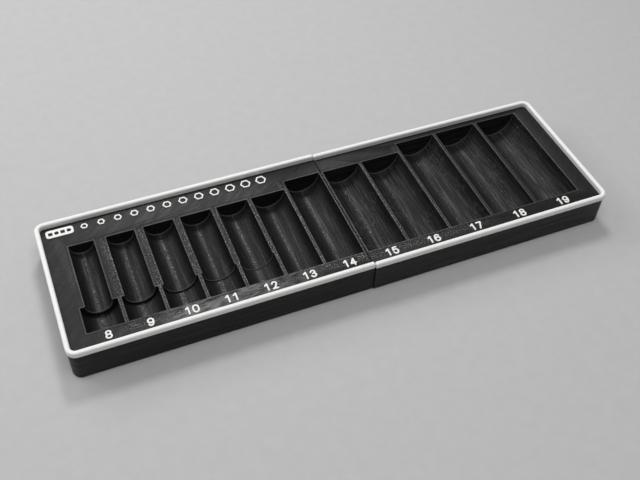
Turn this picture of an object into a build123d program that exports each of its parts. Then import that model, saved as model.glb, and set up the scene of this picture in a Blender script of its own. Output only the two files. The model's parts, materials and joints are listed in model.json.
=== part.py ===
from build123d import *
import os

# A shallow printed tray that lies in a drawer and holds a set of deep sockets on their sides.
# It is printed in two black halves that meet at a seam, each with a raised white rim.
# Millimetres. +X runs from the smallest socket to the largest, +Y to the header, +Z up.
# The origin is under the middle of the tray, on the surface that it rests on.

# Driving dimensions: the sockets --------------------------------------------------------------

# Diameter of each socket's nut end, named by the socket's size.
nut_end_8 = 12.2
nut_end_9 = 14.0
nut_end_10 = 15.2
nut_end_11 = 16.0
nut_end_12 = 16.4
nut_end_13 = 18.2
nut_end_14 = 19.8
nut_end_15 = 20.8
nut_end_16 = 22.0
nut_end_17 = 22.8
nut_end_18 = 24.3
nut_end_19 = 24.8

# Every socket has the same drive end. Small, middle and large sockets differ in length.
drive_end_diameter = 17.4
drive_end_length = 14.8
short_socket_length = 55.0
medium_socket_length = 60.6
long_socket_length = 67.4
largest_short_size = 13
largest_medium_size = 16

# Driving dimensions: the two halves of the tray -----------------------------------------------

socket_clearance = 0.6
axis_depth = 0.6
floor_thickness = 3.8
rib_thickness = 1.9
left_margin = 11.3
right_margin = 12.0
front_margin = 11.8
back_margin = 5.9
corner_radius = 5.0
base_chamfer = 0.8

# The left half ends with this socket. The right half stands a step forward of it at the seam.
largest_left_size = 14
seam_wall = 1.0
seam_gap = 0.3
seam_step = 0.6

# Driving dimensions: the rim ------------------------------------------------------------------

rim_width = 2.5
rim_height = 2.9
rim_overhang = 0.4
rim_rounding = 1.0
rim_end_rounding = 0.5

# Driving dimensions: the numerals and the header on the panel ---------------------------------

mark_height = 0.6
digit_height = 4.8
digit_width = 3.4
digit_stroke = 0.85
digit_pitch = 3.9
numeral_baseline = 4.95
numeral_offset = 0.25

header_from_back = 7.5
plate_start = 5.0
plate_length = 14.0
plate_width = 5.2
plate_corner_radius = 1.5
plate_hole_count = 4
plate_hole_size = 2.2
plate_hole_pitch = 3.1
hexagon_start = 24.5
hexagon_pitch = 8.7
smallest_hexagon = 3.4
largest_hexagon = 5.3
hexagon_wall = 0.75

# Driving dimensions: the bow-tie keys that join the halves from below --------------------------

key_count = 2
key_pitch = 44.0
key_length = 16.0
key_end_width = 10.0
key_waist_width = 5.0
key_thickness = 3.0
key_clearance = 0.1
key_inset = 0.2

# Strokes of each digit on a grid from -1 to 1. Two points are a straight stroke, three an arc.
digit_strokes = {
    "0": [
        [(-1, 0.4), (0, 1), (1, 0.4)],
        [(1, 0.4), (1, -0.4)],
        [(1, -0.4), (0, -1), (-1, -0.4)],
        [(-1, -0.4), (-1, 0.4)],
    ],
    "1": [[(-0.65, 0.55), (0.25, 1)], [(0.25, 1), (0.25, -1)]],
    "2": [
        [(-0.87, 0.5), (0, 1), (0.85, 0.45)],
        [(0.85, 0.45), (0.4, -0.22), (-0.93, -1)],
        [(-0.93, -1), (0.95, -1)],
    ],
    "3": [
        [(-0.84, 0.58), (0, 1), (0.8, 0.53)],
        [(0.8, 0.53), (0.58, 0.17), (-0.15, 0.06)],
        [(-0.15, 0.06), (0.7, -0.06), (0.95, -0.48)],
        [(0.95, -0.48), (0, -1), (-0.9, -0.55)],
    ],
    "4": [[(0.4, 1), (-1, -0.4)], [(-1, -0.4), (1, -0.4)], [(0.4, 1), (0.4, -1)]],
    "5": [
        [(0.82, 1), (-0.65, 1)],
        [(-0.65, 1), (-0.85, 0)],
        [(-0.85, 0), (0.15, 0.32), (0.97, -0.35)],
        [(0.97, -0.35), (0, -1), (-0.9, -0.55)],
    ],
    "6": [
        [(0.85, 0.6), (0.12, 1), (-0.7, 0.6)],
        [(-0.7, 0.6), (-0.97, 0.1), (-1, -0.4)],
        [(-1, -0.4), (0, -1), (1, -0.4)],
        [(1, -0.4), (0, 0.2), (-1, -0.4)],
    ],
    "7": [[(-0.95, 1), (0.95, 1)], [(0.95, 1), (-0.3, -1)]],
    "8": [
        [(0, 1), (0.84, 0.53), (0, 0.06)],
        [(0, 0.06), (-0.84, 0.53), (0, 1)],
        [(0, 0.06), (0.98, -0.47), (0, -1)],
        [(0, -1), (-0.98, -0.47), (0, 0.06)],
    ],
    "9": [
        [(-0.85, -0.6), (-0.12, -1), (0.7, -0.6)],
        [(0.7, -0.6), (0.97, -0.1), (1, 0.4)],
        [(1, 0.4), (0, 1), (-1, 0.4)],
        [(-1, 0.4), (0, -0.2), (1, 0.4)],
    ],
}

# Sizes and places that follow from the driving dimensions ---------------------------------------

nut_end_diameters = {
    8: nut_end_8,
    9: nut_end_9,
    10: nut_end_10,
    11: nut_end_11,
    12: nut_end_12,
    13: nut_end_13,
    14: nut_end_14,
    15: nut_end_15,
    16: nut_end_16,
    17: nut_end_17,
    18: nut_end_18,
    19: nut_end_19,
}
sizes = sorted(nut_end_diameters)
left_sizes = [size for size in sizes if size <= largest_left_size]
right_sizes = [size for size in sizes if size > largest_left_size]
drive_seat_length = drive_end_length + socket_clearance


def nut_radius(size):
    """Radius of the trough under a socket's nut end."""
    return (nut_end_diameters[size] + socket_clearance) / 2


def drive_radius(size):
    """Radius of the trough under a socket's drive end, never under that of the nut end."""
    return max((drive_end_diameter + socket_clearance) / 2, nut_radius(size))


def pocket_length(size):
    """Length of a pocket, from the length of its socket."""
    if size <= largest_short_size:
        return short_socket_length + socket_clearance
    if size <= largest_medium_size:
        return medium_socket_length + socket_clearance
    return long_socket_length + socket_clearance


def lay_out(row, start):
    """Middle of each pocket in a row that starts at this X, and the X where the row ends."""
    middles = {}
    edge = start
    for size in row:
        middles[size] = edge + drive_radius(size)
        edge += 2 * drive_radius(size) + rib_thickness
    return middles, edge - rib_thickness


left_middles, left_row_end = lay_out(left_sizes, left_margin)
right_row_start = left_row_end + seam_wall + seam_gap + seam_wall
right_middles, right_row_end = lay_out(right_sizes, right_row_start)

tray_length = right_row_end + right_margin
tray_width = front_margin + pocket_length(sizes[-1]) + back_margin
left_x = -tray_length / 2
front_y = -tray_width / 2
back_y = tray_width / 2
seam_x = left_x + (left_row_end + right_row_start) / 2

panel_height = floor_thickness + max(drive_radius(size) for size in sizes) + axis_depth
axis_height = panel_height - axis_depth
panel = Plane.XY.offset(panel_height)


class Half:
    """One half of the tray: its pockets, its seam face and its place along Y."""

    def __init__(self, name, side, middles):
        self.name = name
        self.side = side
        self.middles = {size: left_x + middle for size, middle in middles.items()}
        self.seam_face_x = seam_x + side * seam_gap / 2
        self.y = -side * seam_step / 2


halves = [Half("left", -1, left_middles), Half("right", 1, right_middles)]


# Shared outlines ------------------------------------------------------------------------------


def draw_outline(half, inset, mode=Mode.ADD):
    """The whole tray's outline seen from above, drawn in from the rim's outer edge."""
    with Locations((0, half.y)):
        RectangleRounded(
            tray_length - 2 * inset, tray_width - 2 * inset, corner_radius - inset, mode=mode
        )


def keep_half(half):
    """Cut a whole outline off at one half's seam face."""
    with Locations((half.seam_face_x + half.side * tray_length / 2, half.y)):
        Rectangle(tray_length, tray_width, mode=Mode.INTERSECT)


def cut_trough(half, size, radius, length):
    """Cut a half-round trough under a socket's axis, with upright walls above the axis."""
    end_y = front_y + front_margin + length + half.y
    end = Plane(origin=(half.middles[size], end_y, axis_height), x_dir=(1, 0, 0), z_dir=(0, -1, 0))
    with BuildSketch(end) as section:
        with BuildLine():
            ThreePointArc((-radius, 0), (0, -radius), (radius, 0))
            Polyline((radius, 0), (radius, axis_depth), (-radius, axis_depth), (-radius, 0))
        make_face()
    extrude(section.sketch, amount=length, mode=Mode.SUBTRACT)


def draw_key(y, grow):
    """A bow-tie key across the seam, grown all round by a clearance."""
    end_x = key_length / 2 + grow
    end_y = key_end_width / 2 + grow
    waist_y = key_waist_width / 2 + grow
    with Locations((seam_x, y)):
        Polygon(
            (-end_x, -end_y),
            (0, -waist_y),
            (end_x, -end_y),
            (end_x, end_y),
            (0, waist_y),
            (-end_x, end_y),
            align=None,
        )


def draw_digit(digit, middle_x, middle_y):
    """One digit with round stroke ends, its box centred on a point."""
    reach_x = (digit_width - digit_stroke) / 2
    reach_y = (digit_height - digit_stroke) / 2
    for stroke in digit_strokes[digit]:
        points = [(middle_x + x * reach_x, middle_y + y * reach_y) for x, y in stroke]
        if len(points) == 2:
            SlotArc(Edge.make_line(*points), digit_stroke)
        else:
            SlotArc(Edge.make_three_point_arc(*points), digit_stroke)


def write_piece(builder, name):
    """Name a finished piece and write it to its own file."""
    builder.part.label = name
    export_step(builder.part, f"parts/{name}.step")


os.makedirs("parts", exist_ok=True)

# Black halves: floor, ribs and half-round pockets in one print each ------------------------------

key_places = [(index - (key_count - 1) / 2) * key_pitch for index in range(key_count)]

for half in halves:
    with BuildPart() as tray:
        with BuildSketch():
            draw_outline(half, rim_overhang)
            keep_half(half)
        extrude(amount=panel_height)

        base_edges = tray.edges().group_by(Axis.Z)[0]
        seam_edge = base_edges.sort_by(lambda edge: abs(edge.center().X - half.seam_face_x))[0]
        chamfer(base_edges - [seam_edge], length=base_chamfer)

        for size in half.middles:
            cut_trough(half, size, nut_radius(size), pocket_length(size))
            if drive_radius(size) > nut_radius(size):
                cut_trough(half, size, drive_radius(size), drive_seat_length)

        with BuildSketch():
            for y in key_places:
                draw_key(y, key_clearance)
        extrude(amount=key_inset + key_thickness, mode=Mode.SUBTRACT)
    write_piece(tray, f"{half.name}_tray")

# White rims: a rounded bead along three sides of each half ---------------------------------------

for half in halves:
    with BuildPart() as rim:
        with BuildSketch(panel):
            draw_outline(half, 0)
            draw_outline(half, rim_width, mode=Mode.SUBTRACT)
            keep_half(half)
        extrude(amount=rim_height)

        upright_edges = rim.edges().filter_by(Axis.Z)
        end_edges = upright_edges.sort_by(lambda edge: abs(edge.center().X - half.seam_face_x))[:4]
        fillet(end_edges, radius=rim_end_rounding)
        fillet(rim.edges().group_by(Axis.Z)[-1], radius=rim_rounding)
    write_piece(rim, f"{half.name}_rim")

# White numerals in front of the pockets --------------------------------------------------------

for half in halves:
    for size, middle_x in half.middles.items():
        middle_y = front_y + numeral_baseline + digit_height / 2 + half.y
        digits = str(size)
        first_x = middle_x + numeral_offset - (len(digits) - 1) * digit_pitch / 2
        with BuildPart() as numeral:
            with BuildSketch(panel):
                for place, digit in enumerate(digits):
                    draw_digit(digit, first_x + place * digit_pitch, middle_y)
            extrude(amount=mark_height)
        write_piece(numeral, f"numeral_{size:02d}")

# White header: a plate with drive squares and hexagons cut in it, then a hexagon for each socket --

header_y = back_y - header_from_back + halves[0].y
plate_x = left_x + plate_start + plate_length / 2

with BuildPart() as plate:
    with BuildSketch(panel):
        with Locations((plate_x, header_y)):
            RectangleRounded(plate_length, plate_width, plate_corner_radius)
        for place in range(plate_hole_count):
            hole_x = plate_x + (place - (plate_hole_count - 1) / 2) * plate_hole_pitch
            with Locations((hole_x, header_y)):
                if place % 2 == 0:
                    Rectangle(plate_hole_size, plate_hole_size, mode=Mode.SUBTRACT)
                else:
                    RegularPolygon(
                        plate_hole_size / 2, side_count=6, major_radius=False, mode=Mode.SUBTRACT
                    )
    extrude(amount=mark_height)
write_piece(plate, "header_plate")

hexagon_growth = (largest_hexagon - smallest_hexagon) / (len(sizes) - 1)

for place, size in enumerate(sizes):
    across_flats = smallest_hexagon + place * hexagon_growth
    with BuildPart() as hexagon:
        with BuildSketch(panel):
            with Locations((left_x + hexagon_start + place * hexagon_pitch, header_y)):
                RegularPolygon(across_flats / 2, side_count=6, major_radius=False)
                RegularPolygon(
                    across_flats / 2 - hexagon_wall,
                    side_count=6,
                    major_radius=False,
                    mode=Mode.SUBTRACT,
                )
        extrude(amount=mark_height)
    write_piece(hexagon, f"header_hexagon_{size:02d}")

# Black bow-tie keys, pressed up into the underside across the seam --------------------------------

for number, y in enumerate(key_places, start=1):
    with BuildPart() as key:
        with BuildSketch(Plane.XY.offset(key_inset)):
            draw_key(y, 0)
        extrude(amount=key_thickness)
    write_piece(key, f"joining_key_{number}")

print("tray", round(tray_length, 2), "by", round(tray_width, 2))
print("panel height", round(panel_height, 2), "rim top", round(panel_height + rim_height, 2))
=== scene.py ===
# %% [markdown]
# # A printed socket tray
#
# The object is a shallow tray, printed in black plastic in two halves, with a white rim and
# white numerals. This file gives it its looks, step by step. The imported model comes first. It
# is a fixed frame: its pieces already have their true sizes and places, in metres, so every
# later step measures them there and never moves them.

# %% Load the frame
import json
import math

import bmesh
import bpy
from mathutils import Matrix, Vector


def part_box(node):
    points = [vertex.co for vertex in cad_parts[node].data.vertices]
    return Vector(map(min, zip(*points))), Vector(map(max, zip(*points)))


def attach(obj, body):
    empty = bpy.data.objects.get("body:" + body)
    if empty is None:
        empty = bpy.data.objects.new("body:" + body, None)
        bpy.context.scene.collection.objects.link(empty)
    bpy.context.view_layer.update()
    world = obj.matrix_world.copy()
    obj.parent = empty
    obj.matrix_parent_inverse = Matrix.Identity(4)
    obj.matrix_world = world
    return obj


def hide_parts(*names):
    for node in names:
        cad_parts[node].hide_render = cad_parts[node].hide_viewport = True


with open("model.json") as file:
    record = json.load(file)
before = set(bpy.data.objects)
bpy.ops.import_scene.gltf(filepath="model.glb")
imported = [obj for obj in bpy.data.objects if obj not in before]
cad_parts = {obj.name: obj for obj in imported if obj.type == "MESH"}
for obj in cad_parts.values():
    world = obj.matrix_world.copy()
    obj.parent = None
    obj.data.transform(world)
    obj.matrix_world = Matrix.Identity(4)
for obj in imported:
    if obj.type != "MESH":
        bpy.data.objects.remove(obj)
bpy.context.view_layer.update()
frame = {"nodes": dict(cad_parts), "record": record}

MM = 0.001
TOUCH = 0.01 * MM
print("nodes:", len(frame["nodes"]))

# %% [markdown]
# ## The pockets, measured on the frame
#
# Each pocket is a half-round trough under a socket that lies on its side. The printed
# troughs get a mesh of their own below, so their sizes are needed. They could be typed in
# again, but two lists of sizes drift apart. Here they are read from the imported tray: the
# record lists every pocket as a box, and the tray's own corner nearest to a corner of that box
# is the pocket's true corner.

# %% Measure the pockets
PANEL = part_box("left_tray")[1].z


def panel_corners(tray):
    """Every corner of a packed tray that lies on its top panel."""
    return [v.co for v in frame["nodes"][tray].data.vertices if abs(v.co.z - PANEL) < TOUCH]


def nearest(corners, x, y):
    """The corner nearest to a place on the panel."""
    return min(corners, key=lambda corner: math.hypot(corner.x - x, corner.y - y))


def measure_pockets(tray):
    """Every pocket of one half: its middle, its ends, and the radius at each end."""
    low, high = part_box(tray)
    corners = panel_corners(tray)
    boxes = {o["name"]: o["box_m"] for o in frame["record"]["physics"]["openings"]}
    pockets = []
    for name, (box_low, box_high) in boxes.items():
        middle = (box_low[0] + box_high[0]) / 2
        if not name.startswith("pocket") or not name[-2:].isdigit() or not low.x < middle < high.x:
            continue
        back = nearest(corners, box_high[0], box_high[1])
        front = nearest(corners, box_high[0], box_low[1])
        seat = boxes.get(name.replace("pocket", "drive_seat"))
        step = nearest(corners, seat[1][0], seat[1][1]).y if seat else front.y
        pockets.append(
            {
                "middle": middle,
                "front": front.y,
                "step": step,
                "back": back.y,
                "front_radius": front.x - middle,
                "back_radius": back.x - middle,
            }
        )
    return pockets


tray_pockets = {tray: measure_pockets(tray) for tray in ("left_tray", "right_tray")}
for tray, pockets in tray_pockets.items():
    for pocket in pockets:
        print(tray, {key: round(value / MM, 2) for key, value in pocket.items()})

# %% [markdown]
# ## Section of a trough
#
# A printer builds a half-round trough from flat layers, and their beads melt into one smooth
# wall. Only at the very bottom, where the curve is level, the lowest layer leaves a narrow flat
# strip, and that strip catches the light as a thin line along each pocket. A bump in the
# material could hint at it, but the exported mesh would lose it, so it is real geometry here:
# the section is the strip, then one point of the circle for each layer.

# %% Section of a trough
LAYER = 0.2 * MM
AXIS_DEPTH = 0.6 * MM
STRIP_HALF = 0.65 * MM
SEAT_STRIP_HALF = 1.3 * MM
SMALLEST_STEP = 0.01 * MM
ABOVE = 2 * MM


def half_width(radius, z):
    """Half the trough's width at a height: the circle below the axis, upright walls above it."""
    drop = max(0.0, PANEL - AXIS_DEPTH - z)
    return math.sqrt(max(0.0, radius**2 - drop**2))


def trough_section(radius, strip_half):
    """Right half of a trough's section, from the bottom up: a list of x, z."""
    floor_z = PANEL - AXIS_DEPTH - math.sqrt(radius**2 - strip_half**2)
    points = [(strip_half, floor_z)]
    layers = math.floor((PANEL - floor_z) / LAYER)
    for index in range(1, layers):
        z = floor_z + index * LAYER
        if half_width(radius, z) - points[-1][0] > SMALLEST_STEP:
            points.append((half_width(radius, z), z))
    points.append((radius, PANEL + ABOVE))
    return points


print("points in half a section of 9 mm radius:", len(trough_section(9 * MM, STRIP_HALF)))

# %% Solid of a trough
def new_object(bm, name):
    """Turns a finished bmesh into an object in the scene, with normals of its own."""
    mesh = bpy.data.meshes.new(name)
    bm.to_mesh(mesh)
    bm.free()
    if "custom_normal" in mesh.attributes:
        mesh.attributes.remove(mesh.attributes["custom_normal"])
    made = bpy.data.objects.new(name, mesh)
    bpy.context.scene.collection.objects.link(made)
    return made


def grown_outline(pocket, radius, strip_half, growth):
    """The trough's whole section, grown from its axis: a list of x, z, walked once round."""
    axis = PANEL - AXIS_DEPTH
    share = (radius + growth) / radius
    right = []
    for x, z in trough_section(radius, strip_half):
        right.append((x * share, axis + (z - axis) * share if z < axis else z))
    left = [(-x, z) for x, z in reversed(right)]
    return [(pocket["middle"] + x, z) for x, z in right + left]


def trough_cutter(pocket, radius, strip_half, stations):
    """A closed solid that the tray is cut with. Stations are places along it and growths there."""
    bm = bmesh.new()
    rings = []
    for y, growth in stations:
        outline = grown_outline(pocket, radius, strip_half, growth)
        rings.append([bm.verts.new((x, y, z)) for x, z in outline])
    for ring, after in zip(rings, rings[1:]):
        for index in range(len(ring)):
            following = (index + 1) % len(ring)
            bm.faces.new((ring[index], ring[following], after[following], after[index]))
    bm.faces.new(rings[0])
    bm.faces.new(rings[-1])
    bmesh.ops.recalc_face_normals(bm, faces=bm.faces)
    return new_object(bm, "cutter")


# %% [markdown]
# A printed corner is never sharp either. Where a trough meets its end wall, the bead leaves a
# small inside round, and where a drive seat steps up to the narrower trough behind it, the edge
# turns over in a small lip. Both show as thin arcs of light. Each is a few more stations of the
# cutter, along a quarter circle.

# %% Rounds at the ends of a trough
END_ROUNDING = 0.45 * MM
ROUND_STEPS = 3
QUARTER = [math.radians(90) * index / ROUND_STEPS for index in range(ROUND_STEPS + 1)]


def inner_round(back):
    """Stations where a trough curves up into its end wall."""
    return [
        (back - END_ROUNDING * (1 - math.sin(turn)), -END_ROUNDING * (1 - math.cos(turn)))
        for turn in QUARTER
    ]


def lip_round(step):
    """Stations where the riser of a drive seat turns over into the trough behind it."""
    return [
        (step + END_ROUNDING * (1 - math.cos(turn)), END_ROUNDING * (1 - math.sin(turn)))
        for turn in QUARTER
    ]


print("stations of a round:", len(QUARTER))

# %% [markdown]
# ## One printed half
#
# A half is a slab with two rounded corners and a small chamfer at the base. Its outline is
# walked once around, and the slab is three rings of that outline: the base, the top of the
# chamfer, and the panel.

# %% Slab of one half
CORNER = 4.6 * MM
CHAMFER = 0.8 * MM
CORNER_STEPS = 14


def half_outline(low, high, side, inset):
    """Outline of one half from above, anticlockwise. The seam face is the one not drawn in."""
    radius = CORNER - inset
    outer_x = (low.x + inset) if side < 0 else (high.x - inset)
    seam_x = high.x if side < 0 else low.x
    front, back = low.y + inset, high.y - inset
    middle_x = outer_x - side * radius
    turns = [math.radians(90) * index / CORNER_STEPS for index in range(CORNER_STEPS + 1)]
    points = [(seam_x, front)]
    for turn in turns:
        y = front + radius - radius * math.cos(turn)
        points.append((middle_x + side * radius * math.sin(turn), y))
    for turn in turns:
        y = back - radius + radius * math.sin(turn)
        points.append((middle_x + side * radius * math.cos(turn), y))
    points.append((seam_x, back))
    return points


def slab(tray, side):
    """The half before its pockets are cut."""
    low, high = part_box(tray)
    bm = bmesh.new()
    rings = []
    for z, inset in ((0.0, CHAMFER), (CHAMFER, 0.0), (PANEL, 0.0)):
        rings.append([bm.verts.new((x, y, z)) for x, y in half_outline(low, high, side, inset)])
    for below, above in zip(rings, rings[1:]):
        for index in range(len(below)):
            after = (index + 1) % len(below)
            bm.faces.new((below[index], below[after], above[after], above[index]))
    bm.faces.new(rings[0])
    bm.faces.new(rings[-1])
    bmesh.ops.recalc_face_normals(bm, faces=bm.faces)
    return new_object(bm, tray + "_print")


print("points round each corner:", CORNER_STEPS + 1)

# %% [markdown]
# The pockets are cut with Boolean modifiers, one for each trough and each drive seat, and the
# keys' recesses in the same way, with a slightly grown copy of each key. The modifiers are then applied by
# taking the evaluated mesh, and the cutters are thrown away.

# %% Cut the pockets
KEY_GAP = 0.1 * MM
KEY_REACH = 1 * MM
WELD = 0.001 * MM


def key_cutter(key):
    """A copy of a joining key, grown by its clearance and carried below the base."""
    low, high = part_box(key)
    middle = (low + high) / 2
    bm = bmesh.new()
    bm.from_mesh(frame["nodes"][key].data)
    bmesh.ops.remove_doubles(bm, verts=bm.verts, dist=TOUCH)
    for vert in bm.verts:
        if abs(vert.co.x - middle.x) > KEY_GAP:
            vert.co.x += math.copysign(KEY_GAP, vert.co.x - middle.x)
        vert.co.y += math.copysign(KEY_GAP, vert.co.y - middle.y)
        if vert.co.z < middle.z:
            vert.co.z = -KEY_REACH
    return new_object(bm, "cutter")


def cut(body, cutters):
    """Cuts every cutter out of the body, applies the result and removes the cutters."""
    for cutter in cutters:
        modifier = body.modifiers.new("cut", "BOOLEAN")
        modifier.operation = "DIFFERENCE"
        modifier.solver = "EXACT"
        modifier.object = cutter
    depsgraph = bpy.context.evaluated_depsgraph_get()
    finished = bpy.data.meshes.new_from_object(body.evaluated_get(depsgraph))
    body.modifiers.clear()
    body.data = finished
    for cutter in cutters:
        bpy.data.objects.remove(cutter)


# %% [markdown]
# Molten plastic never leaves a true corner, and it is the rounded edges that catch the light
# round every pocket. Those edges get a small bevel. The panel's own outline stays sharp, but for
# its end on the high X side. On the left half that is the seam. On the right half it is the
# outer end, which the rim covers, so the right half's edge at the seam stays sharp.

# %% Round the panel's edges
EDGE_ROUNDING = 0.18 * MM
SQUARE_TURN = math.radians(45)
OUTLINE_MARGIN = CORNER / 4


def round_panel_edges(body, low, high):
    """Rounds the pockets' edges on the panel and the half's end on the high X side."""
    bm = bmesh.new()
    bm.from_mesh(body.data)
    bmesh.ops.remove_doubles(bm, verts=bm.verts, dist=WELD)
    chosen = []
    for edge in bm.edges:
        middle = (edge.verts[0].co + edge.verts[1].co) / 2
        on_panel = all(abs(vert.co.z - PANEL) < TOUCH for vert in edge.verts)
        corner = edge.is_manifold and edge.calc_face_angle(0) > SQUARE_TURN
        between_walls = low.y + CORNER < middle.y < high.y - OUTLINE_MARGIN
        past_low_end = low.x + OUTLINE_MARGIN < middle.x <= high.x
        if on_panel and corner and between_walls and past_low_end:
            chosen.append(edge)
    bmesh.ops.bevel(bm, geom=chosen, offset=EDGE_ROUNDING, segments=2, profile=0.5, affect="EDGES")
    bm.to_mesh(body.data)
    bm.free()
    return len(chosen)


# %% [markdown]
# A material can't see which faces belong to a trough, but the mesh can. Each face gets a number
# under the name "place": 0 on the panel and the outer walls, and one number each for the walls
# of a trough, the small rounds along its edges, and the strip along its bottom. The upright end
# walls and the risers of the drive seats are 0 too, because they are printed like outer walls.
# The material reads the number back and picks its lines accordingly.

# %% Mark the faces
LEVEL = 0.99
TILTED = 0.15
PLAIN, WALL, ROUND, STRIP = 0.0, 0.3, 0.6, 1.0


def place_of(face, pockets):
    """The number of the place that a face belongs to."""
    x, y, z = face.center
    normal = face.normal
    if z > PANEL - EDGE_ROUNDING and TILTED < normal.z < LEVEL:
        return ROUND
    for pocket in pockets:
        aside = abs(x - pocket["middle"])
        within = pocket["front"] - TOUCH < y < pocket["back"] + TOUCH
        if aside > pocket["front_radius"] + TOUCH or not within or not CHAMFER < z < PANEL - TOUCH:
            continue
        if TILTED < abs(normal.y) < LEVEL:
            return ROUND
        if abs(normal.y) > LEVEL:
            return PLAIN
        if aside < TOUCH and normal.z > LEVEL:
            return STRIP
        return WALL
    return PLAIN


def mark_faces(body, pockets):
    """Writes each face's place as an attribute of the mesh. Returns how many places are strips."""
    attribute = body.data.attributes.new("place", "FLOAT", "FACE")
    places = [place_of(face, pockets) for face in body.data.polygons]
    attribute.data.foreach_set("value", places)
    return places.count(STRIP)


# %% Print both halves
PRINT_SHARP = math.radians(25)


def print_half(tray, side):
    """One black half, with its troughs and its recesses for the keys."""
    body = slab(tray, side)
    cutters = []
    for pocket in tray_pockets[tray]:
        front, step, back = pocket["front"], pocket["step"], pocket["back"]
        start = [(front, 0.0)]
        if step > front + TOUCH:
            seat = [(front, 0.0), (step, 0.0)]
            cutters.append(trough_cutter(pocket, pocket["front_radius"], SEAT_STRIP_HALF, seat))
            start = [(front, END_ROUNDING)] + lip_round(step)
        stations = start + inner_round(back)
        cutters.append(trough_cutter(pocket, pocket["back_radius"], STRIP_HALF, stations))
    for key in ("joining_key_1", "joining_key_2"):
        cutters.append(key_cutter(key))
    cut(body, cutters)
    rounded = round_panel_edges(body, *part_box(tray))
    strips = mark_faces(body, tray_pockets[tray])
    body.data.shade_smooth()
    body.data.set_sharp_from_angle(angle=PRINT_SHARP)
    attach(body, "root")
    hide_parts(tray)
    print(body.name, "faces", len(body.data.polygons), "rounded", rounded, "strips", strips)
    return body


left_print = print_half("left_tray", -1)
right_print = print_half("right_tray", 1)

# %% [markdown]
# ## Numerals, header and keys with softened edges
#
# The numerals, the header plate, the hexagons and the keys have the right shape in the frame,
# but their edges are perfectly sharp, and a sharp edge has no highlight. Each gets a copy with
# its flat faces joined and its edges bevelled by a few tenths of a millimetre at most, and the
# copy carries that rounding rather than a shader. A shader could fake that rounding, but the
# exported mesh would lose it, so the copy carries it.

# %% Soften the small pieces
MARK_ROUNDING = 0.13 * MM
KEY_ROUNDING = 0.3 * MM
FLAT_JOIN = math.radians(1)
MARK_SHARP = math.radians(40)


def soften(node, rounding):
    """A copy of a frame node with rounded edges, which stands for it."""
    bm = bmesh.new()
    bm.from_mesh(frame["nodes"][node].data)
    bmesh.ops.remove_doubles(bm, verts=bm.verts, dist=WELD)
    bmesh.ops.dissolve_limit(bm, angle_limit=FLAT_JOIN, verts=bm.verts, edges=bm.edges)
    sharp = [e for e in bm.edges if e.is_manifold and e.calc_face_angle(0) > SQUARE_TURN]
    bmesh.ops.bevel(bm, geom=sharp, offset=rounding, segments=3, profile=0.5, affect="EDGES")
    made = new_object(bm, node + "_print")
    made.data.shade_smooth()
    made.data.set_sharp_from_angle(angle=MARK_SHARP)
    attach(made, "root")
    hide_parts(node)
    return made


marks = []
keys = []
for name in sorted(frame["nodes"]):
    if name.startswith(("numeral_", "header_")):
        marks.append(soften(name, MARK_ROUNDING))
    elif name.startswith("joining_key"):
        keys.append(soften(name, KEY_ROUNDING))
print("softened marks:", len(marks), "keys:", len(keys))

# %% [markdown]
# ## Building shader groups
#
# Several finishes share the same effects, such as layer lines and grain. Each effect is a node
# group with named inputs and outputs, built once. A few small helpers keep the groups readable.
# Three of them make an empty group, store a finished one, and link or set a socket. The others
# each build one small step out of nodes and return its output.

# %% Helpers for shader groups
HALF = 0.5

groups = {}


def new_group(name, inputs, outputs):
    """An empty shader group. Inputs are names with their defaults, and outputs are names."""
    group = bpy.data.node_groups.new(name, "ShaderNodeTree")
    for label, value in inputs.items():
        socket = group.interface.new_socket(label, in_out="INPUT", socket_type="NodeSocketFloat")
        socket.default_value = value
    for label in outputs:
        group.interface.new_socket(label, in_out="OUTPUT", socket_type="NodeSocketFloat")
    return group, group.nodes.new("NodeGroupInput"), group.nodes.new("NodeGroupOutput")


def keep(tree):
    """Stores a finished group under its name, and says what sockets it has."""
    groups[tree.name] = tree
    print("group", tree.name + ":", ", ".join(item.name for item in tree.interface.items_tree))


def feed(tree, socket, value):
    """Links a socket to another one, or sets it to a plain value."""
    if isinstance(value, bpy.types.NodeSocket):
        tree.links.new(value, socket)
    else:
        socket.default_value = value


def calc(tree, operation, *values, clamp=False):
    """A Math node between sockets and numbers. Returns its output."""
    node = tree.nodes.new("ShaderNodeMath")
    node.operation = operation
    node.use_clamp = clamp
    for socket, value in zip(node.inputs, values):
        feed(tree, socket, value)
    return node.outputs[0]


def mix(tree, share, first, second):
    """A Mix node between two numbers. Returns its output."""
    node = tree.nodes.new("ShaderNodeMix")
    node.data_type = "FLOAT"
    feed(tree, node.inputs["Factor"], share)
    feed(tree, node.inputs["A"], first)
    feed(tree, node.inputs["B"], second)
    return node.outputs[0]


def step_up(tree, value, start, end):
    """A smooth step: 0 below start, 1 above end."""
    node = tree.nodes.new("ShaderNodeMapRange")
    node.interpolation_type = "SMOOTHSTEP"
    feed(tree, node.inputs["Value"], value)
    feed(tree, node.inputs["From Min"], start)
    feed(tree, node.inputs["From Max"], end)
    return node.outputs[0]


def place_in_mm(tree):
    """X, Y and Z of the shaded point on the object, in millimetres."""
    place = tree.nodes.new("ShaderNodeTexCoord").outputs["Object"]
    parts = tree.nodes.new("ShaderNodeSeparateXYZ")
    tree.links.new(place, parts.inputs[0])
    return [calc(tree, "MULTIPLY", part, 1 / MM) for part in parts.outputs]


def noise(tree, x, y, z, detail=0.0):
    """A noise texture at a place given as three numbers or sockets. Returns 0 to 1."""
    place = tree.nodes.new("ShaderNodeCombineXYZ")
    for socket, value in zip(place.inputs, (x, y, z)):
        feed(tree, socket, value)
    texture = tree.nodes.new("ShaderNodeTexNoise")
    texture.inputs["Scale"].default_value = 1.0
    texture.inputs["Detail"].default_value = detail
    tree.links.new(place.outputs[0], texture.inputs["Vector"])
    return texture.outputs["Fac"]


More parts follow.
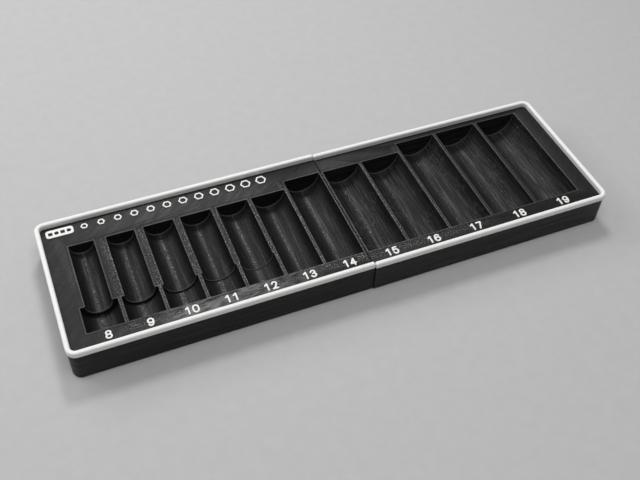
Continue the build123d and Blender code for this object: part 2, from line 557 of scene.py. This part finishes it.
def bead(tree, part):
    """The round top of a bead of plastic, from its part of the way across, 0 to 1."""
    centred = calc(tree, "MULTIPLY_ADD", part, 2.0, -1.0)
    return calc(tree, "SUBTRACT", 1.0, calc(tree, "MULTIPLY", centred, centred))


# %% [markdown]
# ### Layer lines on the walls
#
# A printed wall is a stack of beads, each as tall as a layer. Seen from a step away the beads
# blur, and what shows is that no two layers are quite alike: some are a touch glossier or
# stand proud, in streaks that run along the wall. A Wave texture would repeat too evenly, so
# the group counts the layers itself and asks a noise texture about each layer number.

# %% Group: printed layers
STREAK_REACH = 0.035
LAYER_JUMP = 7.31
BAND_RISE = 0.55
BAND_SHARE = 0.45
LAYER_TONE = (0.3, 0.7)


def printed_layers_group():
    """Height of the layer beads, and a tone that differs from layer to layer."""
    tree, given, result = new_group("printed_layers", {"Layer Height": 0.2}, ["Height", "Tone"])
    x, y, z = place_in_mm(tree)
    count = calc(tree, "DIVIDE", z, given.outputs["Layer Height"])
    index = calc(tree, "FLOOR", count)
    part = calc(tree, "FRACT", count)
    along = [calc(tree, "MULTIPLY", value, STREAK_REACH) for value in (x, y)]
    streak = noise(tree, along[0], along[1], calc(tree, "MULTIPLY", index, LAYER_JUMP))
    band = noise(tree, along[0], along[1], calc(tree, "MULTIPLY", z, BAND_RISE), detail=1.0)
    tone = mix(tree, BAND_SHARE, streak, band)
    feed(tree, result.inputs["Height"], bead(tree, part))
    feed(tree, result.inputs["Tone"], step_up(tree, tone, *LAYER_TONE))
    return tree


keep(printed_layers_group())

# %% [markdown]
# ### The raster on the flat tops
#
# Every flat top is filled with parallel lines, mostly at 45 degrees. The group turns the place
# by the given angle, counts the lines across, and gives each line its own streaky tone.

# %% Group: top raster
LINE_JUMP = 5.17
PATCH_ACROSS = 0.35
PATCH_ALONG = 0.7
PATCH_SLICE = 3.0
PATCH_SHARE = 0.45
LINE_TONE = (0.32, 0.68)


def top_raster_group():
    """Height of the fill lines, and a tone that differs from line to line."""
    inputs = {"Line Width": 0.45, "Angle": 45.0, "Streak Length": 9.0}
    tree, given, result = new_group("top_raster", inputs, ["Height", "Tone"])
    x, y, _ = place_in_mm(tree)
    turn = calc(tree, "RADIANS", given.outputs["Angle"])
    sine = calc(tree, "SINE", turn)
    cosine = calc(tree, "COSINE", turn)
    x_across = calc(tree, "MULTIPLY", x, sine)
    across = calc(tree, "SUBTRACT", calc(tree, "MULTIPLY", y, cosine), x_across)
    along = calc(tree, "ADD", calc(tree, "MULTIPLY", x, cosine), calc(tree, "MULTIPLY", y, sine))
    count = calc(tree, "DIVIDE", across, given.outputs["Line Width"])
    index = calc(tree, "FLOOR", count)
    part = calc(tree, "FRACT", count)
    run = calc(tree, "DIVIDE", along, given.outputs["Streak Length"])
    line = noise(tree, calc(tree, "MULTIPLY", index, LINE_JUMP), run, 0.0)
    patch_across = calc(tree, "MULTIPLY", across, PATCH_ACROSS)
    patch = noise(tree, patch_across, calc(tree, "MULTIPLY", run, PATCH_ALONG), PATCH_SLICE)
    feed(tree, result.inputs["Height"], bead(tree, part))
    tone = mix(tree, PATCH_SHARE, line, patch)
    feed(tree, result.inputs["Tone"], step_up(tree, tone, *LINE_TONE))
    return tree


keep(top_raster_group())

# %% [markdown]
# ### Grain, specks and the way a face looks
#
# The grain is the fine unevenness of the plastic itself. The specks are stray dots, such as
# tiny nibs and dust, and only some of the cells of a Voronoi pattern hold one. The last group
# says how level a face is, so that a material can lay the raster on flat tops and the layer
# lines on walls.

# %% Group: grain
def grain_group():
    """Fine uneven height, and the same as a mask with more contrast."""
    inputs = {"Grain Size": 0.7, "Contrast": 3.0}
    tree, given, result = new_group("grain", inputs, ["Height", "Mask"])
    place = [calc(tree, "DIVIDE", value, given.outputs["Grain Size"]) for value in place_in_mm(tree)]
    raw = noise(tree, *place, detail=1.0)
    centred = calc(tree, "SUBTRACT", raw, HALF)
    stretched = calc(tree, "MULTIPLY", centred, given.outputs["Contrast"])
    feed(tree, result.inputs["Height"], raw)
    feed(tree, result.inputs["Mask"], calc(tree, "ADD", stretched, HALF, clamp=True))
    return tree


keep(grain_group())

# %% Group: specks
def specks_group():
    """A mask of small round dots, one in some of the cells."""
    inputs = {"Spacing": 4.0, "Speck Size": 0.3, "Share": 0.3}
    tree, given, result = new_group("specks", inputs, ["Mask"])
    x, y, z = place_in_mm(tree)
    cells = tree.nodes.new("ShaderNodeTexVoronoi")
    cells.inputs["Scale"].default_value = 1.0
    place = tree.nodes.new("ShaderNodeCombineXYZ")
    for socket, value in zip(place.inputs, (x, y, z)):
        feed(tree, socket, calc(tree, "DIVIDE", value, given.outputs["Spacing"]))
    tree.links.new(place.outputs[0], cells.inputs["Vector"])
    draw = tree.nodes.new("ShaderNodeSeparateColor")
    tree.links.new(cells.outputs["Color"], draw.inputs[0])
    reach = calc(tree, "MULTIPLY", cells.outputs["Distance"], given.outputs["Spacing"])
    near = calc(tree, "LESS_THAN", reach, calc(tree, "DIVIDE", given.outputs["Speck Size"], 2.0))
    held = calc(tree, "LESS_THAN", draw.outputs[0], given.outputs["Share"])
    feed(tree, result.inputs["Mask"], calc(tree, "MULTIPLY", near, held))
    return tree


keep(specks_group())

# %% Group: level faces
def level_group():
    """1 on faces that look straight up or down, 0 on walls."""
    tree, given, result = new_group("level", {"Start": 0.55, "End": 0.85}, ["Mask"])
    geometry = tree.nodes.new("ShaderNodeNewGeometry")
    parts = tree.nodes.new("ShaderNodeSeparateXYZ")
    tree.links.new(geometry.outputs["Normal"], parts.inputs[0])
    up = calc(tree, "ABSOLUTE", parts.outputs["Z"])
    feed(tree, result.inputs["Mask"], step_up(tree, up, given.outputs["Start"], given.outputs["End"]))
    return tree


keep(level_group())

# %% [markdown]
# ### Marks inside the troughs
#
# The nozzle draws the inside of a trough in long passes, and every pass leaves a faint line of
# its own. In the large pockets some patches came out rough, where the plastic curled and was
# dragged along. Both are noise textures, and the lines are one that is stretched along Y. For
# the patches, a large noise says where they may be and a finer one tears them up. The strip
# along a trough's bottom is a row of short blobs instead, and they are simply counted along Y.

# %% Group: trough marks
TRACE_TONE = (0.35, 0.65)
PATCH_TONE = (0.50, 0.62)
TORN_TONE = (0.52, 0.66)
TEAR_STRETCH = 2.5


def trough_marks_group():
    """Fine lines along the troughs, rough patches in them, and blobs along their bottoms."""
    inputs = {
        "Line Width": 0.7,
        "Line Length": 16.0,
        "Patch Size": 12.0,
        "Tear Size": 1.1,
        "Blob Spacing": 1.6,
    }
    tree, given, result = new_group("trough_marks", inputs, ["Lines", "Patches", "Blobs"])
    x, y, z = place_in_mm(tree)
    across = [calc(tree, "DIVIDE", value, given.outputs["Line Width"]) for value in (x, z)]
    along = calc(tree, "DIVIDE", y, given.outputs["Line Length"])
    lines = noise(tree, across[0], along, across[1], detail=1.0)
    large = [calc(tree, "DIVIDE", value, given.outputs["Patch Size"]) for value in (x, y, z)]
    small = [calc(tree, "DIVIDE", value, given.outputs["Tear Size"]) for value in (x, y, z)]
    small[1] = calc(tree, "DIVIDE", small[1], TEAR_STRETCH)
    allowed = step_up(tree, noise(tree, *large), *PATCH_TONE)
    torn = step_up(tree, noise(tree, *small, detail=2.0), *TORN_TONE)
    feed(tree, result.inputs["Lines"], step_up(tree, lines, *TRACE_TONE))
    feed(tree, result.inputs["Patches"], calc(tree, "MULTIPLY", allowed, torn))
    blob = calc(tree, "FRACT", calc(tree, "DIVIDE", y, given.outputs["Blob Spacing"]))
    feed(tree, result.inputs["Blobs"], bead(tree, blob))
    return tree


keep(trough_marks_group())

# %% [markdown]
# ### Lines that follow the pockets
#
# A printer goes round each pocket's edge a few times before it fills the panel, and leaves a
# ragged seam where the fill meets those rounds. The distance to a pocket's edge is worked out
# in the shader, because a pocket is a box: how far the point lies beyond its sides or ends,
# whichever is more. One group does one box, and the nearest box wins.

# %% Group: pocket distance
RIB_FADE = (-1.0, 0.5)


def pocket_distance_group():
    """Distance in millimetres to one pocket's edge, and a mask of the panel beside and before it."""
    inputs = {
        "Middle": 0.0,
        "Half Width": 5.0,
        "Front": -5.0,
        "Back": 5.0,
        "Reach": 3.8,
        "Lead": 5.5,
    }
    tree, given, result = new_group("pocket_distance", inputs, ["Distance", "Rib"])
    x, y, _ = place_in_mm(tree)
    aside = calc(tree, "ABSOLUTE", calc(tree, "SUBTRACT", x, given.outputs["Middle"]))
    beside = calc(tree, "SUBTRACT", aside, given.outputs["Half Width"])
    before = calc(tree, "SUBTRACT", given.outputs["Front"], y)
    behind = calc(tree, "SUBTRACT", y, given.outputs["Back"])
    ends = calc(tree, "MAXIMUM", before, behind)
    past_ends = calc(tree, "MAXIMUM", calc(tree, "SUBTRACT", before, given.outputs["Lead"]), behind)
    past_sides = calc(tree, "SUBTRACT", beside, given.outputs["Reach"])
    past = calc(tree, "MAXIMUM", past_ends, past_sides)
    feed(tree, result.inputs["Distance"], calc(tree, "MAXIMUM", beside, ends))
    feed(tree, result.inputs["Rib"], calc(tree, "SUBTRACT", 1.0, step_up(tree, past, *RIB_FADE)))
    return tree


keep(pocket_distance_group())

# %% Group: edge rounds
RAGGED_PITCH = 0.7
RAGGED_LINES = 3.0
FIRST_FADE = (0.45, 1.0)
SEAM_FADE = (0.3, 0.9)


def edge_rounds_group():
    """Height of the rounds beside an edge, where they are, the first of them, and their seam."""
    inputs = {"Distance": 0.0, "Line Width": 0.45, "Rounds": 3.0, "Raggedness": 1.2}
    tree, given, result = new_group("edge_rounds", inputs, ["Height", "Inside", "First", "Seam"])
    x, y, _ = place_in_mm(tree)
    place = [calc(tree, "MULTIPLY", value, RAGGED_PITCH) for value in (x, y)]
    ragged = noise(tree, *place, 0.0, detail=2.0)
    shift = calc(tree, "MULTIPLY", calc(tree, "SUBTRACT", ragged, HALF), given.outputs["Raggedness"])
    lines = calc(tree, "DIVIDE", given.outputs["Distance"], given.outputs["Line Width"])
    end = calc(tree, "ADD", given.outputs["Rounds"], calc(tree, "MULTIPLY", shift, RAGGED_LINES))
    beyond = calc(tree, "ABSOLUTE", calc(tree, "SUBTRACT", lines, end))
    first = calc(tree, "ABSOLUTE", calc(tree, "SUBTRACT", lines, HALF))
    feed(tree, result.inputs["Height"], bead(tree, calc(tree, "FRACT", lines)))
    feed(tree, result.inputs["Inside"], calc(tree, "LESS_THAN", lines, end))
    feed(tree, result.inputs["First"], calc(tree, "SUBTRACT", 1.0, step_up(tree, first, *FIRST_FADE)))
    feed(tree, result.inputs["Seam"], calc(tree, "SUBTRACT", 1.0, step_up(tree, beyond, *SEAM_FADE)))
    return tree


keep(edge_rounds_group())
print("shader groups:", len(groups))

# %% [markdown]
# ## Black plastic
#
# The halves are printed in black plastic with a soft sheen. Its own colour is very dark, and
# most of what the eye sees is the sheen, so the detail goes into roughness and bump and only a
# little into colour. One function makes three finishes: the left half, the right half, whose
# walls are paler and whose troughs are more scuffed, and the keys, which have no pockets.

# %% Helpers for materials
def new_material(name):
    """A material with a Principled shader. Returns the material, its tree and the shader."""
    material = bpy.data.materials.new(name)
    material.use_nodes = True
    tree = material.node_tree
    return material, tree, tree.nodes["Principled BSDF"]


def use(tree, group, **values):
    """Places a group in a material. Its values are given by name, with _ for a space."""
    node = tree.nodes.new("ShaderNodeGroup")
    node.node_tree = groups[group]
    for label, value in values.items():
        feed(tree, node.inputs[label.replace("_", " ").title()], value)
    return node.outputs


def tint(tree, share, first, second):
    """A Mix node between two colours, given as numbers or sockets. Returns its output."""
    node = tree.nodes.new("ShaderNodeMix")
    node.data_type = "RGBA"
    feed(tree, node.inputs[0], share)
    for socket, colour in ((node.inputs[6], first), (node.inputs[7], second)):
        feed(tree, socket, colour if isinstance(colour, bpy.types.NodeSocket) else (*colour, 1.0))
    return node.outputs[2]


def add_bump(tree, shader, height_mm):
    """Bends the shader's normal by a height in millimetres."""
    node = tree.nodes.new("ShaderNodeBump")
    node.inputs["Distance"].default_value = MM
    feed(tree, node.inputs["Height"], height_mm)
    tree.links.new(node.outputs["Normal"], shader.inputs["Normal"])


def nearest_pocket(tree):
    """Distance in millimetres to the nearest pocket's edge, and a mask of the ribs between them."""
    distance, rib = None, None
    for pocket in tray_pockets["left_tray"] + tray_pockets["right_tray"]:
        spans = [(pocket["back_radius"], pocket["front"], pocket["back"])]
        if pocket["step"] > pocket["front"] + TOUCH:
            spans.append((pocket["front_radius"], pocket["front"], pocket["step"]))
        for radius, front, back in spans:
            here = use(
                tree,
                "pocket_distance",
                middle=pocket["middle"] / MM,
                half_width=radius / MM,
                front=front / MM,
                back=back / MM,
            )
            if distance is None:
                distance, rib = here["Distance"], here["Rib"]
            else:
                distance = calc(tree, "MINIMUM", distance, here["Distance"])
                rib = calc(tree, "MAXIMUM", rib, here["Rib"])
    return distance, rib


# %% Helpers for masks
def between(tree, value, low, high):
    """1 where a value lies between two numbers, else 0."""
    above = calc(tree, "GREATER_THAN", value, low)
    return calc(tree, "MULTIPLY", above, calc(tree, "LESS_THAN", value, high))


def window(tree, value, rise, fall):
    """1 between the end of the rise and the start of the fall, 0 outside both."""
    after = step_up(tree, value, *rise)
    return calc(tree, "MULTIPLY", after, calc(tree, "SUBTRACT", 1.0, step_up(tree, value, *fall)))


def place_masks(tree):
    """Masks read from the mesh: walls of a trough, rounded edges, and the strips."""
    attribute = tree.nodes.new("ShaderNodeAttribute")
    attribute.attribute_name = "place"
    place = attribute.outputs["Fac"]
    wall = between(tree, place, WALL - TILTED, WALL + TILTED)
    rounded = between(tree, place, ROUND - TILTED, ROUND + TILTED)
    strip = between(tree, place, STRIP - TILTED, STRIP + TILTED)
    return wall, rounded, strip


# %% [markdown]
# ### What all black prints share
#
# Layer lines belong on walls and the raster on flat tops, so each has a tone and a height of its
# own here, and the material picks between them by how level the face is. A little of the fine
# grain goes into both tones, which keeps them from looking drawn.

# %% Tones and heights of black print
LAYER_MM = LAYER / MM
TOP_GRAIN = 0.35
WALL_GRAIN = 0.3


def black_basis(tree):
    """Tones, heights and masks of a plain black print, by name."""
    top = use(tree, "level")["Mask"]
    walls = use(tree, "printed_layers", layer_height=LAYER_MM)
    fill = use(tree, "top_raster", angle=45.0, streak_length=9.0)
    grain = use(tree, "grain", grain_size=0.75, contrast=12.0)
    fine = use(tree, "grain", grain_size=0.5, contrast=3.0)["Mask"]
    return {
        "top": top,
        "top_height": fill["Height"],
        "top_tone": mix(tree, TOP_GRAIN, fill["Tone"], fine),
        "wall_height": walls["Height"],
        "wall_tone": mix(tree, WALL_GRAIN, walls["Tone"], fine),
        "streaks": walls["Tone"],
        "grain_height": grain["Height"],
        "grain_mask": grain["Mask"],
        "fine": fine,
        "specks": use(tree, "specks", spacing=5.0, speck_size=0.4, share=0.22)["Mask"],
    }


# %% [markdown]
# ### What the pockets add
#
# Round each pocket run the edge rounds, with their seam. The edges themselves get a painted
# highlight: their colour is paler where light catches them. The ribs and the strips along the
# troughs are speckled, real grain whose pale dots are painted glints. The ribs' speckle fades
# out towards both ends of the tray, where the sheen falls off, and the panel in front of the
# pockets gets a painted sheen on the left, so both are windows along X. What belongs to the
# panel is held to the panel's height, which keeps it off the base, because the base is level too.

# %% Marks of the pockets
# Where the speckle with its painted glints fades in and out along X, in mm; towards both ends this paints
# the sheen's falloff.
SPECKLE_GLINT_LEFT = (-122.0, -112.0)
SPECKLE_GLINT_RIGHT = (70.0, 90.0)
# Where the panel in front of the pockets gets a painted sheen, along X, in mm.
SHEEN_PATCH_LEFT = (-104.0, -86.0)
SHEEN_PATCH_RIGHT = (-60.0, -5.0)
FRONT_ENDS = tray_pockets["left_tray"][0]["front"]
PANEL_REACH = 0.3
TRACE_SHARE = 0.6
HIGHLIGHT_LEAST, HIGHLIGHT_VARIES = 0.4, 0.6
FILL_TONE = 0.5
BLOB_SHARE = 0.5
SEAM_TONE = 0.6


def painted_sheen_mask(tree, x, y, panel):
    """A painted sheen on the panel in front of the pockets, in streaks."""
    # Painted sheen: a pale streaky patch in front of the pockets, where the light's sheen falls on the
    # panel.
    across = calc(tree, "MULTIPLY", window(tree, x, SHEEN_PATCH_LEFT, SHEEN_PATCH_RIGHT), panel)
    front = calc(tree, "MULTIPLY", across, calc(tree, "LESS_THAN", y, FRONT_ENDS / MM))
    sheen_streaks = use(tree, "top_raster", angle=6.0, streak_length=4.0, line_width=0.6)["Tone"]
    return calc(tree, "MULTIPLY", front, sheen_streaks)


def add_pocket_marks(tree, look, scuffed):
    """Works the pockets' marks into a plain print's tones and heights. Returns their masks."""
    distance, rib = nearest_pocket(tree)
    rounds = use(tree, "edge_rounds", distance=distance, line_width=0.45)
    wall, rounded, strip = place_masks(tree)
    x, y, z = place_in_mm(tree)
    outside = calc(tree, "SUBTRACT", 1.0, calc(tree, "MAXIMUM", wall, strip))
    top = calc(tree, "MULTIPLY", look["top"], outside)
    panel = calc(tree, "MULTIPLY", top, calc(tree, "GREATER_THAN", z, PANEL / MM - PANEL_REACH))
    beside = calc(tree, "MULTIPLY", rounds["Inside"], panel)
    seam = calc(tree, "MULTIPLY", rounds["Seam"], panel)
    # The speckle is real grain, and its pale dots are painted glints; fading it towards both ends paints
    # the darker ends where the sheen falls off.
    rib = calc(tree, "MULTIPLY", rib, window(tree, x, SPECKLE_GLINT_LEFT, SPECKLE_GLINT_RIGHT))
    speckled = calc(tree, "MAXIMUM", calc(tree, "MULTIPLY", rib, panel), strip)
    traces = use(tree, "trough_marks")
    trace_share = calc(tree, "MULTIPLY", wall, TRACE_SHARE)
    look["wall_tone"] = mix(tree, trace_share, look["wall_tone"], traces["Lines"])
    height = mix(tree, beside, look["top_height"], rounds["Height"])
    look["top_height"] = calc(tree, "SUBTRACT", height, seam)
    tone = mix(tree, speckled, calc(tree, "MULTIPLY", look["top_tone"], FILL_TONE), look["grain_mask"])
    tone = mix(tree, calc(tree, "MULTIPLY", strip, BLOB_SHARE), tone, traces["Blobs"])
    seam_dark = calc(tree, "MULTIPLY", seam, SEAM_TONE)
    look["top_tone"] = calc(tree, "SUBTRACT", tone, seam_dark, clamp=True)
    look["top"] = calc(tree, "MAXIMUM", top, strip)
    # Painted highlight: the rounded edges and the first round beside them are paler in colour, where light
    # catches them.
    edge = calc(tree, "MAXIMUM", rounded, calc(tree, "MULTIPLY", rounds["First"], panel))
    highlight_share = calc(tree, "MULTIPLY_ADD", look["fine"], HIGHLIGHT_VARIES, HIGHLIGHT_LEAST)
    patches = calc(tree, "MULTIPLY", traces["Patches"], wall)
    return {
        "wall": wall,
        "speckled": speckled,
        "painted_sheen": painted_sheen_mask(tree, x, y, panel),
        "scuffs": calc(tree, "MULTIPLY", patches, scuffed),
        "edge_highlight": calc(tree, "MULTIPLY", edge, highlight_share),
    }


# %% [markdown]
# ### The finish itself
#
# The tones now drive the Principled shader. A high tone is paler and glossier at once: smooth
# plastic mirrors more light. The painted edge highlights and the painted sheen change only the
# colour. The walls of the troughs are rougher as a whole, by how scuffed their half is.

# %% Material: black print
BLACK_DEEP = (0.005, 0.005, 0.0055)
BLACK_WALL = (0.018, 0.018, 0.019)
BLACK_WALL_RIGHT = (0.030, 0.030, 0.031)
# Pale end of the tops' colour, which the speckle's painted glints reach.
BLACK_TOP_AND_GLINT = (0.050, 0.050, 0.052)
# Pale colour of the painted edge highlight, also used for the real scuffs in the troughs.
BLACK_SCUFF_AND_HIGHLIGHT = (0.075, 0.075, 0.075)
# Colour of the painted sheen in front of the pockets.
BLACK_PAINTED_SHEEN = (0.15, 0.15, 0.15)
BLACK_SPECULAR = 0.25
BLACK_ROUGHNESS = 0.56
TONE_ROUGHNESS = -0.28
TOP_ROUGHNESS = -0.07
SCUFF_ROUGHNESS = 0.28
LAYER_DEPTH = 0.01
STREAK_DEPTH = 0.04
GRAIN_DEPTH = 0.04
SPECKLE_DEPTH = 0.16
SPECK_DEPTH = 0.05
SCUFF_DEPTH = 0.12


def black_height(tree, look, pocket_marks, raster_depth):
    """Height in millimetres of everything that stands up from a black print."""
    uneven = calc(tree, "MULTIPLY", look["streaks"], STREAK_DEPTH)
    layers = calc(tree, "MULTIPLY_ADD", look["wall_height"], LAYER_DEPTH, uneven)
    raster = calc(tree, "MULTIPLY", look["top_height"], raster_depth)
    height = mix(tree, look["top"], layers, raster)
    grain_depth = GRAIN_DEPTH
    if pocket_marks:
        grain_depth = calc(tree, "MULTIPLY_ADD", pocket_marks["speckled"], SPECKLE_DEPTH, GRAIN_DEPTH)
    height = calc(tree, "ADD", height, calc(tree, "MULTIPLY", look["grain_height"], grain_depth))
    height = calc(tree, "ADD", height, calc(tree, "MULTIPLY", look["specks"], SPECK_DEPTH))
    if pocket_marks:
        scuff_height = calc(tree, "MULTIPLY", pocket_marks["scuffs"], SCUFF_DEPTH)
        height = calc(tree, "ADD", height, scuff_height)
    return height


def black_plastic(name, scuffed=None, wall_pale=BLACK_WALL, raster_depth=0.012):
    """Printed black plastic. Scuffed is how much of the rough patches shows, or None on a key."""
    material, tree, shader = new_material(name)
    look = black_basis(tree)
    pocket_marks = add_pocket_marks(tree, look, scuffed) if scuffed is not None else {}
    top, top_tone, wall_tone = look["top"], look["top_tone"], look["wall_tone"]
    tone = mix(tree, top, wall_tone, top_tone)
    wall_shade = tint(tree, calc(tree, "MULTIPLY", wall_tone, wall_tone), BLACK_DEEP, wall_pale)
    # Tops grow paler with their tone; on the speckle that paleness is painted glint.
    top_shade = tint(tree, calc(tree, "MULTIPLY", top_tone, top_tone), BLACK_DEEP, BLACK_TOP_AND_GLINT)
    colour = tint(tree, top, wall_shade, top_shade)
    roughness = calc(tree, "MULTIPLY_ADD", tone, TONE_ROUGHNESS, BLACK_ROUGHNESS)
    roughness = calc(tree, "MULTIPLY_ADD", top, TOP_ROUGHNESS, roughness)
    if pocket_marks:
        # Painted highlight on the edges, together with the real paler colour of the scuffs.
        pale = calc(tree, "MAXIMUM", pocket_marks["edge_highlight"], pocket_marks["scuffs"])
        colour = tint(tree, pale, colour, BLACK_SCUFF_AND_HIGHLIGHT)
        # Painted sheen on the panel in front of the pockets.
        colour = tint(tree, pocket_marks["painted_sheen"], colour, BLACK_PAINTED_SHEEN)
        scuff_share = scuffed * SCUFF_ROUGHNESS
        roughness = calc(tree, "MULTIPLY_ADD", pocket_marks["wall"], scuff_share, roughness)
    feed(tree, shader.inputs["Base Color"], colour)
    feed(tree, shader.inputs["Roughness"], roughness)
    shader.inputs["Specular IOR Level"].default_value = BLACK_SPECULAR
    add_bump(tree, shader, black_height(tree, look, pocket_marks, raster_depth))
    return material


left_black = black_plastic("black_print_left", scuffed=0.1)
right_black = black_plastic("black_print_right", scuffed=0.35, wall_pale=BLACK_WALL_RIGHT)
black_key = black_plastic("black_key_print", raster_depth=0.015)
for material in (left_black, right_black, black_key):
    print(material.name, "nodes:", len(material.node_tree.nodes))

# %% [markdown]
# ## White plastic
#
# The rim and the marks are printed in the same way in white. White shows little sheen and much
# of its own colour, so here the layer lines go into colour as much as into bump, and the colour
# stays a little warm.

# %% Material: white print
WHITE_LOW = (0.80, 0.80, 0.775)
WHITE_HIGH = (0.88, 0.88, 0.86)
WHITE_SPECULAR = 0.25
WHITE_GRAIN = 0.4
PALE_LEAST, PALE_VARIES = 0.5, 0.5
WHITE_ROUGHNESS = 0.56
WHITE_TONE_ROUGHNESS = -0.1


def white_plastic(name, layer_depth=0.012, raster_depth=0.01, grain_depth=0.02):
    """Printed white plastic. Depths are the heights of the beads and the grain, in mm."""
    material, tree, shader = new_material(name)
    level = use(tree, "level")["Mask"]
    walls = use(tree, "printed_layers", layer_height=LAYER_MM)
    fill = use(tree, "top_raster", angle=45.0, streak_length=6.0)
    grain = use(tree, "grain", grain_size=0.9, contrast=2.5)
    tone = mix(tree, level, walls["Tone"], fill["Tone"])
    speckled = mix(tree, WHITE_GRAIN, tone, grain["Mask"])
    share = calc(tree, "MULTIPLY_ADD", speckled, PALE_VARIES, PALE_LEAST)
    feed(tree, shader.inputs["Base Color"], tint(tree, share, WHITE_LOW, WHITE_HIGH))
    roughness = calc(tree, "MULTIPLY_ADD", tone, WHITE_TONE_ROUGHNESS, WHITE_ROUGHNESS)
    feed(tree, shader.inputs["Roughness"], roughness)
    shader.inputs["Specular IOR Level"].default_value = WHITE_SPECULAR
    wall_height = calc(tree, "MULTIPLY", walls["Height"], layer_depth)
    flat_height = calc(tree, "MULTIPLY", fill["Height"], raster_depth)
    height = mix(tree, level, wall_height, flat_height)
    height = calc(tree, "ADD", height, calc(tree, "MULTIPLY", grain["Height"], grain_depth))
    add_bump(tree, shader, height)
    return material


white_rim = white_plastic("white_rim_print")
white_mark = white_plastic("white_mark_print", layer_depth=0.008, grain_depth=0.012)
print("white finishes:", white_rim.name, white_mark.name)

# %% [markdown]
# ## Giving each piece its finish
#
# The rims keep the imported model's own mesh, because their edges are already round there. Every
# other visible piece is one of the prints made above.

# %% Dress the pieces
def dress(piece, material):
    """Gives a piece one material in place of any that it came with."""
    piece.data.materials.clear()
    piece.data.materials.append(material)


dress(left_print, left_black)
dress(right_print, right_black)
for piece in keys:
    dress(piece, black_key)
for piece in marks:
    dress(piece, white_mark)
for name in ("left_rim", "right_rim"):
    dress(frame["nodes"][name], white_rim)
print("materials:", sorted(material.name for material in bpy.data.materials if material.users))

# %% [markdown]
# ## Floor, camera and light
#
# The floor is a plain pale sheet, and it isn't part of the object. The camera stands where it
# was worked out to have stood for the photo, in front of the tray and to its left, and it is
# rolled a little as well.

# %% Floor
FLOOR_HALF = 2.0
FLOOR_DARK = (0.48, 0.48, 0.485)
FLOOR_PALE = (0.51, 0.51, 0.515)
FLOOR_ROUGHNESS = 0.85


def pale_floor_material():
    """Pale matte paint with a faint mottling."""
    material, tree, shader = new_material("pale_floor")
    grain = use(tree, "grain", grain_size=6.0, contrast=1.5)
    feed(tree, shader.inputs["Base Color"], tint(tree, grain["Mask"], FLOOR_DARK, FLOOR_PALE))
    shader.inputs["Roughness"].default_value = FLOOR_ROUGHNESS
    return material


bm = bmesh.new()
bmesh.ops.create_grid(bm, x_segments=1, y_segments=1, size=FLOOR_HALF)
floor = new_object(bm, "floor")
dress(floor, pale_floor_material())
print("floor side in m:", 2 * FLOOR_HALF)

# %% Camera
SENSOR = 36.0
LENS = 48.76
EYE = Vector((-0.1329, -0.28285, 0.3490))
AIM = Vector((-0.0130, -0.01835, 0.0205))
ROLL = math.radians(2.75)

camera_data = bpy.data.cameras.new("camera")
camera = bpy.data.objects.new("camera", camera_data)
bpy.context.scene.collection.objects.link(camera)
camera_data.sensor_fit = "HORIZONTAL"
camera_data.sensor_width = SENSOR
camera_data.lens = LENS
turn = (AIM - EYE).to_track_quat("-Z", "Y").to_matrix().to_4x4() @ Matrix.Rotation(ROLL, 4, "Z")
camera.matrix_world = Matrix.Translation(EYE) @ turn
bpy.context.scene.camera = camera
print("camera distance in m:", round((AIM - EYE).length, 3))

# %% [markdown]
# Black plastic shows little but what it mirrors, so each soft light has a place of its own. The
# ceiling light hangs over the tray. The side light stands behind it to the left, and a weaker
# one stands further to the left. The small sheen light is behind and above, near where a level
# panel mirrors it to the camera. The world adds a little light from all round, and a camera ray
# that misses the floor sees the world as pale.

# %% Light
WORLD_STRENGTH = 0.15
WORLD_SEEN = 0.8


def studio_world():
    """Even light from all round. A camera ray that misses the floor sees a pale backdrop."""
    world = bpy.data.worlds.new("studio")
    world.use_nodes = True
    tree = world.node_tree
    seen = tree.nodes.new("ShaderNodeLightPath").outputs["Is Camera Ray"]
    background = tree.nodes["Background"]
    background.inputs["Color"].default_value = (1, 1, 1, 1)
    feed(tree, background.inputs["Strength"], mix(tree, seen, WORLD_STRENGTH, WORLD_SEEN))
    return world


def softbox(name, place, width, height, watts):
    """A soft rectangular light that looks at the tray. Its width lies level."""
    light = bpy.data.lights.new(name, "AREA")
    light.shape = "RECTANGLE"
    light.size = width
    light.size_y = height
    light.energy = watts
    lamp = bpy.data.objects.new(name, light)
    bpy.context.scene.collection.objects.link(lamp)
    lamp.location = place
    lamp.rotation_euler = (-Vector(place)).to_track_quat("-Z", "Y").to_euler()
    print(name, "in m:", place, "watts:", watts)


bpy.context.scene.world = studio_world()
softbox("ceiling_light", (-0.05, -0.24, 1.12), 0.7, 0.7, 6.0)
softbox("side_light", (-0.50, 0.62, 0.60), 0.9, 0.35, 3.0)
softbox("left_light", (-0.80, 0.25, 0.52), 0.5, 0.4, 0.9)
softbox("sheen_light", (0.13, 0.50, 0.84), 0.2, 0.2, 3.2)
bpy.context.scene.view_settings.view_transform = "Standard"
